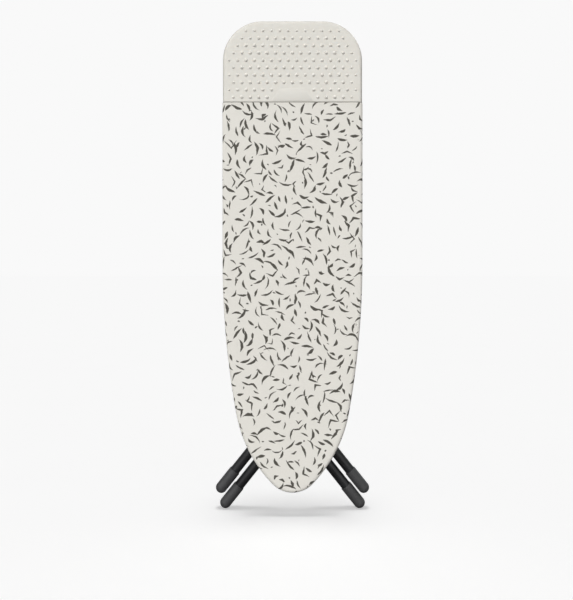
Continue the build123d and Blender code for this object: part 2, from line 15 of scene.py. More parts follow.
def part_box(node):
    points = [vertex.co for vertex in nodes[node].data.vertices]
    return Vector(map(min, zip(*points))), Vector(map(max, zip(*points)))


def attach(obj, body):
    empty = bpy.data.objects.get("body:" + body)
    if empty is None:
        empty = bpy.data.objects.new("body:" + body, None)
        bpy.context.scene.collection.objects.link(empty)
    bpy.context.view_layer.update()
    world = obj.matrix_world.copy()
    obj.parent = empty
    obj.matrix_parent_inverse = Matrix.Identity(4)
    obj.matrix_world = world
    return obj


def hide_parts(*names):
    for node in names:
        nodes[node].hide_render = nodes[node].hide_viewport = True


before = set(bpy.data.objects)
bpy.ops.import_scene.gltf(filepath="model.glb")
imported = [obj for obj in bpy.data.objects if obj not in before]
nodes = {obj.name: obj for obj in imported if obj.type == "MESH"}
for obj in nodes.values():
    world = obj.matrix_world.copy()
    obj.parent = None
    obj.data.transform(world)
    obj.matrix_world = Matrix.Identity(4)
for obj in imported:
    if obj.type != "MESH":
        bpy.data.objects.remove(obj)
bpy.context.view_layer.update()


# ---- Deck --------------------------------------------------------------------------------------
# A thin steel sheet, slit and pulled open into diamonds, which carries the pad and lets steam out.
# It is powder coated a light grey after it is cut to the outline and laid on the rim.
def linear(code):
    """An sRGB hex colour as linear light, with full opacity."""
    parts = [int(code[i:i + 2], 16) / 255 for i in (1, 3, 5)]
    return [v / 12.92 if v <= 0.04045 else ((v + 0.055) / 1.055) ** 2.4 for v in parts] + [1.0]


def plug(tree, node, inputs):
    """Fills a node's inputs with values, sockets or other nodes."""
    for key, value in inputs.items() if isinstance(inputs, dict) else enumerate(inputs):
        if isinstance(value, bpy.types.Node):
            value = value.outputs[0]
        if isinstance(value, bpy.types.NodeSocket):
            tree.links.new(value, node.inputs[key])
        else:
            node.inputs[key].default_value = value


def add(tree, kind, inputs=(), **settings):
    """A new node with its settings and its inputs."""
    node = tree.nodes.new(kind)
    for name, value in settings.items():
        setattr(node, name, value)
    plug(tree, node, inputs)
    return node


def maths(tree, operation, *values):
    """A Math node on values, sockets or other nodes."""
    return add(tree, "ShaderNodeMath", values, operation=operation)


def vectors(tree, operation, *values):
    """A Vector Math node on the same."""
    return add(tree, "ShaderNodeVectorMath", values, operation=operation)


def noisy(tree, place, width, detail):
    """Noise in patches about this wide."""
    return add(tree, "ShaderNodeTexNoise", {"Vector": place, "Scale": 1 / width, "Detail": detail})


def bumped(tree, strength, distance, height):
    """A relief this deep, from a height of 0 to 1."""
    return add(tree, "ShaderNodeBump", {
        "Strength": strength, "Distance": distance, "Height": height})


def mapped(tree, value, low, high, start, end):
    """A value's range from low to high, stretched to run from start to end and held there."""
    return add(tree, "ShaderNodeMapRange", [value, low, high, start, end])


def blended(tree, share, first, second):
    """The colour that lies a share of the way from one hex code or socket to another."""
    first, second = (linear(c) if isinstance(c, str) else c for c in (first, second))
    mix = add(tree, "ShaderNodeMix", {0: share, 6: first, 7: second}, data_type="RGBA")
    return mix.outputs[2]


def placed(name, data):
    """A new object for this data, in the scene."""
    thing = bpy.data.objects.new(name, data)
    bpy.context.scene.collection.objects.link(thing)
    return thing


def drawn(name, points, edges=(), faces=()):
    """A new object in the scene, made of these points, edges and faces."""
    mesh = bpy.data.meshes.new(name)
    mesh.from_pydata(points, edges, faces)
    return placed(name, mesh)


def finish(name, sockets):
    """A material with its shader's plain values, and its tree, shader and place on the piece."""
    material = bpy.data.materials.new(name)
    material.use_nodes = True
    tree = material.node_tree
    tree.nodes.clear()
    shader = add(tree, "ShaderNodeBsdfPrincipled", sockets)
    add(tree, "ShaderNodeOutputMaterial", [shader])
    return material, tree, shader, add(tree, "ShaderNodeTexCoord").outputs["Object"]


def powder_coat(name, colour, thin, gloss, peel_width, peel_depth):
    """Baked powder paint: a fine orange peel, thinner and paler in clouds, with a soft sheen."""
    material, tree, shader, place = finish(name, {"IOR": 1.5, "Specular IOR Level": 0.5})
    peel = noisy(tree, place, peel_width, 2.0)
    cloud = noisy(tree, place, 0.045, 4.0)
    dust = noisy(tree, place, 0.0022, 1.0)
    speck = mapped(tree, dust, 0.62, 0.74, 0.0, 0.35)
    share = mapped(tree, cloud, 0.35, 0.7, 0.0, 0.6)
    share = maths(tree, "MAXIMUM", share, speck)
    mixed = blended(tree, share, colour, thin)
    rough = mapped(tree, cloud, 0.3, 0.7, gloss, gloss + 0.12)
    bump = bumped(tree, 0.35, peel_depth, peel)
    plug(tree, shader, {"Base Color": mixed, "Roughness": rough, "Normal": bump})
    return material


def dress(piece, material):
    """Gives a piece its only finish."""
    piece.data.materials.clear()
    piece.data.materials.append(material)


def paint(material, *names):
    """Gives CAD nodes their finish."""
    for name in names:
        dress(nodes[name], material)


def geometry_tree(name, sizes):
    """An empty Geometry Nodes tree with named inputs, and the node that hands them out."""
    tree = bpy.data.node_groups.new(name, "GeometryNodeTree")
    for label, kind in sizes.items():
        tree.interface.new_socket(label, in_out="INPUT", socket_type="NodeSocket" + kind)
    tree.interface.new_socket("Mesh", in_out="OUTPUT", socket_type="NodeSocketGeometry")
    return tree, tree.nodes.new("NodeGroupInput").outputs


def close_tree(tree, shape, material):
    """Ends a tree: its instances made real, then their material, then the output."""
    real = add(tree, "GeometryNodeRealizeInstances", [shape])
    dressed = add(tree, "GeometryNodeSetMaterial", {"Geometry": real, "Material": material})
    add(tree, "NodeGroupOutput", [dressed])


def off_stencil(tree, stencil, here):
    """True where a line from front to back through a place misses the stencil."""
    target = add(tree, "GeometryNodeObjectInfo", {"Object": stencil})
    ahead = vectors(tree, "ADD", here, (0, -1, 0))
    aim = add(tree, "GeometryNodeRaycast", {
        "Target Geometry": target.outputs["Geometry"], "Source Position": ahead,
        "Ray Direction": (0, 1, 0), "Ray Length": 3.0})
    return add(tree, "FunctionNodeBooleanMath", [aim.outputs["Is Hit"]], operation="NOT")


def plain(piece):
    """Bakes a piece's modifiers into its mesh."""
    depsgraph = bpy.context.evaluated_depsgraph_get()
    mesh = bpy.data.meshes.new_from_object(piece.evaluated_get(depsgraph))
    piece.modifiers.clear()
    piece.data = mesh
    return piece


def grown(name, tree, values, body):
    """The plain mesh that a tree makes from these sizes, riding on a body."""
    piece = placed(name, bpy.data.meshes.new(name))
    modifier = piece.modifiers.new(name, "NODES")
    modifier.node_group = tree
    for item in tree.interface.items_tree:
        if item.in_out == "INPUT":
            modifier[item.identifier] = values[item.name]
    plain(piece)
    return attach(piece, body)


deck_low, deck_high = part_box("deck")
diamond_long, diamond_short = 0.016, 0.008
strand_width = 0.0017
deck_gauge = deck_high.y - deck_low.y

tree, size = geometry_tree("expanded sheet", {
    "Stencil": "Object", "Width": "Float", "Height": "Float", "Columns": "Int", "Rows": "Int",
    "Pull": "Float", "Strand": "Float", "Gauge": "Float", "Middle": "Vector", "Finish": "Material"})
grid = add(tree, "GeometryNodeMeshGrid", [size["Width"], size["Height"], size["Columns"],
                                          size["Rows"]])
ends = add(tree, "GeometryNodeInputMeshEdgeVertices")
run = vectors(tree, "SUBTRACT", ends.outputs["Position 1"], ends.outputs["Position 2"])
run = add(tree, "ShaderNodeSeparateXYZ", [run])
steep = maths(tree, "ABSOLUTE", run.outputs["X"])
steep = add(tree, "FunctionNodeCompare", {0: steep, 1: 0.0001}, operation="LESS_THAN")
lines = add(tree, "GeometryNodeDeleteGeometry", [grid, steep], domain="EDGE", mode="EDGE_FACE")
index = add(tree, "GeometryNodeInputIndex")
row = maths(tree, "MODULO", index, size["Rows"])
column = maths(tree, "FLOOR", maths(tree, "DIVIDE", index, size["Rows"]))
parity = maths(tree, "MODULO", maths(tree, "ADD", row, column), 2.0)
sway = mapped(tree, parity, 0.0, 1.0, -1.0, 1.0)
sway = maths(tree, "MULTIPLY", sway, size["Pull"])
place = add(tree, "ShaderNodeSeparateXYZ", [add(tree, "GeometryNodeInputPosition")])
height = maths(tree, "ADD", place.outputs["Y"], sway)
upright = add(tree, "ShaderNodeCombineXYZ", [place.outputs["X"], 0.0, height])
upright = vectors(tree, "ADD", upright, size["Middle"])
stood = add(tree, "GeometryNodeSetPosition", {"Geometry": lines, "Position": upright})
miss = off_stencil(tree, size["Stencil"], add(tree, "GeometryNodeInputPosition"))
trimmed = add(tree, "GeometryNodeDeleteGeometry", [stood, miss], domain="POINT")
wires = add(tree, "GeometryNodeMeshToCurve", [trimmed])
wires = add(tree, "GeometryNodeSetCurveNormal", [wires], mode="Z_UP")
section = add(tree, "GeometryNodeCurvePrimitiveQuadrilateral", {
    "Width": size["Gauge"], "Height": size["Strand"]})
strands = add(tree, "GeometryNodeCurveToMesh", {"Curve": wires, "Profile Curve": section})
flat_faces = add(tree, "GeometryNodeSetShadeSmooth", {"Geometry": strands, "Shade Smooth": False})
close_tree(tree, flat_faces, size["Finish"])

deck_paint = powder_coat("light grey powder coat on expanded sheet", "#A9ABAD", "#BDBFC0",
                         0.42, 0.0012, 0.00012)
deck_mesh = grown("deck_mesh", tree, {
    "Stencil": nodes["deck"], "Width": deck_high.x - deck_low.x, "Height": deck_high.z - deck_low.z,
    "Columns": 1 + round((deck_high.x - deck_low.x) / diamond_long * 2),
    "Rows": 1 + round((deck_high.z - deck_low.z) / diamond_short * 2),
    "Pull": diamond_short / 4 - strand_width / 4, "Strand": strand_width, "Gauge": deck_gauge,
    "Middle": (deck_low + deck_high) / 2,
    "Finish": deck_paint}, "board")
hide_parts("deck")


# ---- Rim, ribs and pivot bracket ---------------------------------------------------------------
# The rim is a channel pressed from steel strip in two halves, bent to the outline and joined at
# the nose and the tail. Four channel ribs are welded across it, and all are powder coated black.
frame_paint = powder_coat("black satin powder coat on pressed steel", "#202123", "#2B2C2E",
                          0.34, 0.0014, 0.00015)
paint(frame_paint, "rim_left", "rim_right", "rib_tail", "rib_pivot", "rib_middle", "rib_nose",
      "pivot_bracket")


# ---- Guide rods, shafts, pins and screws -------------------------------------------------------
# Drawn steel bar and cold-headed fasteners, barrel plated with clear zinc. The plating is bright
# with a cool cast, and the bar keeps faint lines along its length from the drawing die.
def zinc_plate(name, stretch):
    """Bright zinc on steel: faint drawn lines and a cloudy cool tint."""
    material, tree, shader, place = finish(name, {"Metallic": 1.0})
    drawn = add(tree, "ShaderNodeMapping", {"Vector": place, "Scale": stretch})
    lines = noisy(tree, drawn, 0.0008, 2.0)
    cloud = noisy(tree, place, 0.012, 3.0)
    tint = blended(tree, cloud, "#B9BEC4", "#CFCDC2")
    rough = mapped(tree, lines, 0.3, 0.7, 0.22, 0.38)
    bump = bumped(tree, 0.25, 0.00004, lines)
    plug(tree, shader, {"Base Color": tint, "Roughness": rough, "Normal": bump})
    return material


rod_zinc = zinc_plate("zinc plated drawn bar", (1, 1, 0.02))
pin_zinc = zinc_plate("zinc plated cross bar", (0.02, 1, 1))
head_zinc = zinc_plate("zinc plated fasteners", (1, 1, 1))
paint(rod_zinc, "guide_rod_left", "guide_rod_right")
paint(pin_zinc, "pivot_shaft", "cross_axle", "outer_spacer_pins", "carriage_pins", "lever_pin")
paint(head_zinc, "bracket_rivets", "rod_block_screws", "saddle_screws", "carriage_screws",
      "lock_plate")


# ---- Blocks, bushes and saddles ----------------------------------------------------------------
# Injection-moulded nylon, black all through. The mould's spark-eroded face leaves a fine even
# grain, and the running faces of the bushes are polished a little by use.
def moulded(name, colour, pale, grain, depth, gloss):
    """A moulded plastic with an even grain and slightly cloudy gloss."""
    material, tree, shader, place = finish(name, {"IOR": 1.49, "Specular IOR Level": 0.5})
    pits = add(tree, "ShaderNodeTexVoronoi", {"Vector": place, "Scale": 1 / grain})
    cloud = noisy(tree, place, 0.02, 3.0)
    tint = blended(tree, cloud, colour, pale)
    rough = mapped(tree, cloud, 0.3, 0.7, gloss, gloss + 0.12)
    bump = bumped(tree, 0.5, depth, pits)
    plug(tree, shader, {"Base Color": tint, "Roughness": rough, "Normal": bump})
    return material


nylon = moulded("moulded black nylon", "#1B1B1C", "#29292A", 0.0009, 0.00008, 0.42)
paint(nylon, "rod_block_tail", "rod_block_nose", "leg_saddle_left", "leg_saddle_right",
      "inner_pivot_bushes", "outer_pivot_bushes", "carriage_bushes", "carriage_block",
      "inner_spacers", "outer_spacers", "pivot_shaft_caps")


# ---- Buffers -----------------------------------------------------------------------------------
# Two rings cut from soft black rubber tube, pushed on to the rods. They look dull and dusty,
# because the rubber blooms a little as it ages.
buffer_rubber = moulded("soft black rubber with bloom", "#181818", "#303030", 0.0006, 0.00005, 0.72)
paint(buffer_rubber, "rod_buffers")


# ---- Foam pad ----------------------------------------------------------------------------------
# A sheet of off-white polyether foam under the cloth, cut to the outline, with its edge pressed
# round by the cover. Its open cells show through the diamonds of the deck from behind.
board_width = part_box("cover")[1].x * 2
nose_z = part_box("cover")[0].z
rest_inset = 0.0014
tail_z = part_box("iron_rest")[1].z + rest_inset
front_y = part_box("cover")[0].y
front_zone = 0.0045
rim_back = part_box("rim_left")[1].y
seam_z = (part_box("cover")[1].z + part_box("iron_rest")[0].z) / 2
nose_tip_radius, nose_tip_turn, nose_flank_turn = 0.076, 45.6, 79.8
shoulder_growth, tail_corner_radius = 0.0373, 0.110


def arc(centre, radius, start, turn, step):
    """Points along an arc, each with the way it faces, as (x, z, facing x, facing z)."""
    count = max(2, ceil(radius * radians(turn) / step))
    angles = [radians(start + turn * k / count) for k in range(count + 1)]
    return [(centre[0] + radius * cos(a), centre[1] + radius * sin(a), cos(a), sin(a))
            for a in angles]


def nose_side(step, stops):
    """The right of the outline, from the nose up to the stops near the seam."""
    half = board_width / 2
    tip, flank = radians(nose_tip_turn), radians(nose_flank_turn)
    flank_radius = (half - shoulder_growth - nose_tip_radius * sin(tip)) / (sin(flank) - sin(tip))
    shoulder_radius = shoulder_growth / (1 - sin(flank))
    centre, last, line = (0.0, nose_z), 0.0, []
    for radius, start, end in ((nose_tip_radius, 0.0, tip), (flank_radius, tip, flank),
                               (shoulder_radius, flank, pi / 2)):
        centre = (centre[0] + (last - radius) * sin(start),
                  centre[1] - (last - radius) * cos(start))
        line += arc(centre, radius, degrees(start) - 90, degrees(end - start), step)[bool(line):]
        last = radius
    top = line[-1][1]
    count = ceil((stops[0] - top) / step)
    line += [(half, top + (stops[0] - top) * k / count, 1.0, 0.0) for k in range(1, count)]
    return line + [(half, stop, 1.0, 0.0) for stop in stops]


def tail_side(step, stops):
    """The right of the outline, from the stops near the seam up and round to the tail's middle."""
    half = board_width / 2
    line = [(half, stop, 1.0, 0.0) for stop in stops]
    corner = (half - tail_corner_radius, tail_z - tail_corner_radius)
    count = ceil((corner[1] - stops[-1]) / step)
    line += [(half, stops[-1] + (corner[1] - stops[-1]) * k / count, 1.0, 0.0)
             for k in range(1, count)]
    line += arc(corner, tail_corner_radius, 0, 90, step)
    count = ceil(corner[0] / step)
    return line + [(corner[0] * (1 - k / count), tail_z, 0.0, 1.0) for k in range(1, count + 1)]


def both_sides(line):
    """A line from the middle outwards, joined to its mirror image."""
    return [(-x, z, -facing, up) for x, z, facing, up in line[:0:-1]] + line


def wrapped(line, profile, closed, sink=None, fold=None):
    """A skin that follows a profile of (inset, y) round a line, with its flat front filled in.

    Gives points, faces and flat cloth places. sink(x, z) is how far it turns in at a seam, and
    fold(along, inset, y) shifts a point in y where the cloth gathers.
    """
    points, flat, faces = [], [], []
    reach, along = [0.0], [0.0]
    for (i0, y0), (i1, y1) in zip(profile, profile[1:]):
        reach.append(reach[-1] + hypot(i1 - i0, y1 - y0))
    for a, b in zip(line, line[1:]):
        along.append(along[-1] + hypot(a[0] - b[0], a[1] - b[1]))
    inward = []
    for k in range(len(profile)):
        a, b = profile[max(0, k - 1)], profile[min(len(profile) - 1, k + 1)]
        run, rise = b[0] - a[0], b[1] - a[1]
        size = hypot(run, rise)
        inward.append((rise / size, -run / size))
    inward[0] = (0.0, 1.0)
    for (x, z, facing, up), way in zip(line, along):
        turn = sink(x, z) if sink else 0.0
        for (inset, y), (deeper, back), out in zip(profile, inward, reach):
            depth = inset + deeper * turn
            shift = fold(way, inset, y) if fold else 0.0
            points.append((x - facing * depth, y + back * turn + shift, z - up * depth))
            spread = out - profile[0][0]
            flat.append((x + facing * spread, z + up * spread))
    rows = len(profile)
    last = len(line) if closed else len(line) - 1
    for i in range(last):
        j = (i + 1) % len(line)
        faces += [(i * rows + k, j * rows + k, j * rows + k + 1, i * rows + k + 1)
                  for k in range(rows - 1)]
    return points, flat, faces


def inset_ring(line, inset):
    """The outline (x, z) that runs an inset inside a line."""
    return [(x - facing * inset, z - up * inset) for x, z, facing, up in line]


def filled(rim_points, spacing, levels):
    """Triangles that fill a flat outline of (x, z), on a grid with extra levels in z."""
    ring = np.array(rim_points)
    low, high = ring.min(0), ring.max(0)
    across = np.linspace(low[0], high[0], ceil((high[0] - low[0]) / spacing) + 1)
    upward = list(np.linspace(low[1], high[1], ceil((high[1] - low[1]) / spacing) + 1))
    upward = [z for z in upward if all(abs(z - level) > spacing * 0.6 for level in levels)] + levels
    grid = np.array([(x, z) for z in upward for x in across])
    edge = np.roll(ring, -1, 0) - ring
    length = np.maximum((edge ** 2).sum(1), 1e-12)
    kept = []
    for point in grid:
        share = np.clip(((point - ring) * edge).sum(1) / length, 0, 1)
        away = point - ring - share[:, None] * edge
        nearest = np.sqrt((away ** 2).sum(1)).min()
        crossing = ((ring[:, 1] > point[1]) != (np.roll(ring, -1, 0)[:, 1] > point[1]))
        slope = np.where(crossing, (point[1] - ring[:, 1]) / np.where(crossing, edge[:, 1], 1), 0)
        inside = (crossing & (point[0] < ring[:, 0] + slope * edge[:, 0])).sum() % 2
        fine = 0.4 * spacing if all(abs(point[1] - level) > 1e-9 for level in levels) else 0.0002
        if inside and nearest > fine:
            kept.append(point)
    corners = [Vector(p) for p in rim_points] + [Vector(p) for p in kept]
    count = len(rim_points)
    loop = [(k, (k + 1) % count) for k in range(count)]
    made = delaunay_2d_cdt(corners, loop, [], 1, 1e-7)
    return [tuple(v) for v in made[0]], [tuple(f) for f in made[2]]


def skin_mesh(name, points, flat, faces, front=None):
    """A mesh object from a wrapped skin and its filled front, merged, with a map of the cloth."""
    points, flat, faces = list(points), list(flat), list(faces)
    for corners, triangles, y_at in front or []:
        start = len(points)
        points += [(x, y_at(x, z), z) for x, z in corners]
        flat += corners
        faces += [tuple(start + k for k in face) for face in triangles]
    mesh = bpy.data.meshes.new(name)
    mesh.from_pydata(points, [], faces)
    layer = mesh.uv_layers.new(name="ClothPlace")
    for loop in mesh.loops:
        layer.data[loop.index].uv = flat[loop.vertex_index]
    form = bmesh.new()
    form.from_mesh(mesh)
    bmesh.ops.remove_doubles(form, verts=form.verts, dist=2e-5)
    bmesh.ops.recalc_face_normals(form, faces=form.faces)
    facing = sum(f.normal.y * f.calc_area() for f in form.faces
                 if f.calc_center_median().y < front_y + front_zone)
    if facing > 0:
        bmesh.ops.reverse_faces(form, faces=form.faces)
    for face in form.faces:
        face.smooth = True
    form.to_mesh(mesh)
    form.free()
    return placed(name, mesh)


def quarter(inset_from, y_from, inset_to, y_to, count, front):
    """Points of a quarter ellipse between two places on a profile, ends included.

    front is True where it leaves a flat face parallel to the front, and False where it meets one.
    """
    points = []
    for k in range(count + 1):
        a = pi / 2 * k / count
        u, v = (sin(a), 1 - cos(a)) if front else (1 - cos(a), sin(a))
        points.append((inset_from + (inset_to - inset_from) * u, y_from + (y_to - y_from) * v))
    return points


pad_low, pad_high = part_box("foam_pad")
pad_edge, pad_front_inset, pad_back_round = 0.0034, 0.0105, 0.0012
pad_line = nose_side(0.006, [seam_z]) + tail_side(0.006, [seam_z])[1:]
pad_ring = both_sides(pad_line)[1:]
pad_turn_y = pad_high.y - pad_back_round
pad_profile = quarter(pad_front_inset, pad_low.y, pad_edge, pad_turn_y, 6, True)
pad_profile += quarter(pad_edge, pad_turn_y, pad_edge + pad_back_round, pad_high.y, 3, False)[1:]
skin = wrapped(pad_ring, pad_profile, True)
pad_faces = []
for inset, level in (pad_profile[0], pad_profile[-1]):
    corners, triangles = filled(inset_ring(pad_ring, inset), 0.014, [])
    pad_faces.append((corners, triangles, lambda x, z, level=level: level))
pad = skin_mesh("foam_sheet", *skin, pad_faces)

foam, tree, shader, place = finish("open cell polyether foam", {
    "Roughness": 0.95, "Specular IOR Level": 0.2, "Subsurface Weight": 0.15,
    "Subsurface Radius": (0.003, 0.0025, 0.002), "Subsurface Scale": 1.0})
cells = add(tree, "ShaderNodeTexVoronoi", {"Vector": place, "Scale": 1 / 0.0016},
            feature="SMOOTH_F1")
age = noisy(tree, place, 0.09, 3.0)
shade = mapped(tree, cells.outputs["Distance"], 0.1, 0.7, 0.0, 1.0)
shade = maths(tree, "MULTIPLY", shade, age)
tint = blended(tree, shade, "#EFEBDD", "#CFC7AE")
bump = bumped(tree, 0.8, 0.0005, cells.outputs["Distance"])
plug(tree, shader, {"Base Color": tint, "Normal": bump})
dress(pad, foam)
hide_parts("foam_pad")
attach(pad, "board")


# ---- Cover -------------------------------------------------------------------------------------
# A printed cotton cloth drawn tight over the pad and round the rim. Its edge is turned in behind
# the frame, hemmed over a cord casing, and gathers into puckers where the outline is curved.
cloth_thickness = 0.0008
edge_round = 0.0085
hem_y = rim_back + 0.0009
hem_inset = 0.0264
hem_round, casing_radius = 0.0035, 0.0021
groove_depth, groove_reach = 0.0016, 0.0026
seam_stops = [0.012, 0.0065, 0.0042, 0.0030, 0.0024, 0.0018, 0.0013, 0.0009, 0.0006, 0.0004, 0.0003]


def pucker(way, inset, y):
    """How far the turned-in edge lifts or dips where it gathers: most near the nose."""
    inner = max(0.0, min(1.0, (inset - 0.004) / (hem_inset - 0.004)))
    if y < hem_y - 0.004 or inner <= 0:
        return 0.0
    half = cover_length / 2
    curve = max(0.0, 1 - abs(way - half) / 0.42)
    size = 0.0005 + 0.0019 * curve
    drift = noise.noise(Vector((way / 0.05, 3.7, 0))) * 2.2
    wave = sin(way / 0.0125 * pi + drift) + 0.4 * sin(way / 0.0071 * pi + 1.3 - drift)
    return size * inner ** 1.3 * wave


def padded_face(x, z):
    """The front of the cloth: flat, with the faint unevenness of foam and mesh under it."""
    swell = noise.noise(Vector((x / 0.07, z / 0.07, 0.4))) * 0.00022
    swell += noise.noise(Vector((x / 0.021, z / 0.021, 5.4))) * 0.00007
    return front_y + swell


cover_side = nose_side(0.0026, [seam_z - stop for stop in seam_stops])
cover_line = both_sides(cover_side)
cover_length = sum(hypot(a[0] - b[0], a[1] - b[1]) for a, b in zip(cover_line, cover_line[1:]))
cover_profile = quarter(edge_round + 0.001, front_y, 0.0, front_y + edge_round, 7, True)
cover_side_y = front_y + edge_round
cover_profile += [(0.0, cover_side_y + (hem_y - hem_round - cover_side_y) * k / 4)
                  for k in range(1, 4)]
cover_profile += quarter(0.0, hem_y - hem_round, hem_round, hem_y, 4, False)
cover_profile += [(hem_round + (hem_inset - hem_round) * k / 8, hem_y) for k in range(1, 9)]
cover_profile += [(hem_inset + casing_radius * sin(a), hem_y - casing_radius * (1 - cos(a)))
                  for a in (radians(45 * k) for k in range(1, 8))]


def seam_sink(x, z):
    """How far the cover or the iron rest turns in at their seam, which has a short reach."""
    near = max(0.0, 1 - abs(z - seam_z) / groove_reach)
    return groove_depth * (1 - sqrt(1 - near ** 2))


skin = wrapped(cover_line, cover_profile, False, seam_sink, pucker)
ring = inset_ring(cover_line, cover_profile[0][0])
corners, triangles = filled(ring, 0.009, [seam_z - stop for stop in seam_stops[1:-1]])
ring_places = {(round(x, 6), round(z, 6)) for x, z in ring}


def cover_face(x, z):
    """The cover's front, with its top edge turned in and its outline kept at the edge."""
    flat_part = front_y if (round(x, 6), round(z, 6)) in ring_places else padded_face(x, z)
    return flat_part + seam_sink(x, z)


cover = skin_mesh("cotton_cover", *skin, [(corners, triangles, cover_face)])
thick = cover.modifiers.new("cloth thickness", "SOLIDIFY")
thick.thickness, thick.offset = cloth_thickness, -1.0
plain(cover)

cotton, tree, shader, place = finish("printed cotton cloth", {
    "Roughness": 0.88, "Specular IOR Level": 0.25, "Sheen Weight": 0.25, "Sheen Roughness": 0.5})

# One brush stroke lies in each cell of a loose lattice, turned, bent and sized by that cell's own
# chances. Some strokes have an elbow, all taper to points, and one end is heavier than the other.
scatter, kink_from, kink_to, elbow_slope = 0.36, 0.72, 0.8, 2.2
arch_middle, heavy_end, light_end, slimmest = 0.35, 1.3, 0.7, 0.5
ink_bleed, ink_depth = 0.0002, 0.0004
stroke = bpy.data.node_groups.new("one brush stroke in each cell", "ShaderNodeTree")
for label in ("Cloth", "Shift", "Turn", "Cell", "Shortest", "Longest", "Broadest", "Bend"):
    kind = "NodeSocketVector" if label in ("Cloth", "Shift") else "NodeSocketFloat"
    stroke.interface.new_socket(label, in_out="INPUT", socket_type=kind)
stroke.interface.new_socket("Ink", in_out="OUTPUT", socket_type="NodeSocketFloat")
given = stroke.nodes.new("NodeGroupInput").outputs
moved = add(stroke, "ShaderNodeVectorRotate", {"Vector": given["Cloth"], "Angle": given["Turn"]},
            rotation_type="Z_AXIS")
smaller = maths(stroke, "DIVIDE", 1.0, given["Cell"])
scaled = add(stroke, "ShaderNodeVectorMath", {0: moved, "Scale": smaller}, operation="SCALE")
scaled = vectors(stroke, "ADD", scaled, given["Shift"])
spot = add(stroke, "ShaderNodeTexVoronoi", {"Vector": scaled, "Scale": 1.0, "Randomness": scatter},
           voronoi_dimensions="2D")
away = vectors(stroke, "SUBTRACT", scaled, spot.outputs["Position"])
away = add(stroke, "ShaderNodeVectorMath", {0: away, "Scale": given["Cell"]}, operation="SCALE")
chance = add(stroke, "ShaderNodeSeparateColor", [spot.outputs["Color"]])
second = maths(stroke, "FRACT", maths(stroke, "MULTIPLY", chance.outputs[0], 37.7))
third = maths(stroke, "FRACT", maths(stroke, "MULTIPLY", chance.outputs[1], 23.3))
kinked = mapped(stroke, third, kink_from, kink_to, 0.0, 1.0)
angle = maths(stroke, "MULTIPLY", chance.outputs[0], 2 * pi)
laid = add(stroke, "ShaderNodeVectorRotate", {"Vector": away, "Angle": angle},
           rotation_type="Z_AXIS")
laid = add(stroke, "ShaderNodeSeparateXYZ", [laid])
half = mapped(stroke, chance.outputs[1], 0.0, 1.0, given["Shortest"], given["Longest"])
share = maths(stroke, "DIVIDE", laid.outputs["X"], half)
square = maths(stroke, "MULTIPLY", share, share)
length = maths(stroke, "ABSOLUTE", share)
elbow = maths(stroke, "MULTIPLY", length, elbow_slope)
bow = add(stroke, "ShaderNodeMix", {0: kinked, 2: square, 3: elbow})
arch = maths(stroke, "SUBTRACT", chance.outputs[2], 0.5)
arch = maths(stroke, "MULTIPLY", maths(stroke, "MULTIPLY", arch, given["Bend"]), half)
arched = maths(stroke, "SUBTRACT", bow, arch_middle)
arched = maths(stroke, "MULTIPLY_ADD", arched, arch, laid.outputs["Y"])
aside = maths(stroke, "ABSOLUTE", arched)
taper = maths(stroke, "SUBTRACT", 1.0, maths(stroke, "POWER", length, 2.0))
heavy = mapped(stroke, share, -1.0, 1.0, heavy_end, light_end)
taper = maths(stroke, "MULTIPLY", taper, heavy)
broad = mapped(stroke, second, 0.0, 1.0, slimmest, 1.0)
broad = maths(stroke, "MULTIPLY", broad, given["Broadest"])
wide = maths(stroke, "MULTIPLY", taper, broad)
inside = maths(stroke, "SUBTRACT", wide, aside)
ink = mapped(stroke, inside, -ink_bleed, ink_depth, 0.0, 1.0)
add(stroke, "NodeGroupOutput", [ink])

wobble_width, wobble_reach = 0.009, 0.0036
cloth_place = add(tree, "ShaderNodeUVMap", uv_map="ClothPlace")
wobble = noisy(tree, cloth_place, wobble_width, 2.0)
wobble = vectors(tree, "SUBTRACT", wobble.outputs["Color"], (0.5, 0.5, 0.5))
wobble = add(tree, "ShaderNodeVectorMath", {0: wobble, "Scale": wobble_reach}, operation="SCALE")
uneven = vectors(tree, "ADD", cloth_place, wobble)
print_cell, print_turn = 0.053, 0.45
# Each layer has its own shift in cells, then the shortest, longest and broadest half stroke, and
# how far strokes bend. The layers lie half a cell apart, and the last one adds small flecks.
layers = [((3.0, 7.0, 0), 0.0098, 0.0205, 0.0043, 0.9),
          ((12.5, 4.5, 0), 0.0092, 0.0195, 0.0041, 1.1),
          ((21.5, 9.0, 0), 0.0090, 0.0190, 0.0040, 0.8),
          ((34.0, 2.5, 0), 0.0085, 0.0180, 0.0039, 1.0),
          ((46.25, 13.25, 0), 0.0026, 0.0060, 0.0024, 0.5)]
printed = None
for shift, shortest, longest, broadest, bend in layers:
    layer = add(tree, "ShaderNodeGroup", {
        "Cloth": uneven, "Shift": shift, "Turn": print_turn, "Cell": print_cell,
        "Shortest": shortest, "Longest": longest, "Broadest": broadest, "Bend": bend},
        node_tree=stroke)
    printed = layer if printed is None else maths(tree, "MAXIMUM", printed, layer)
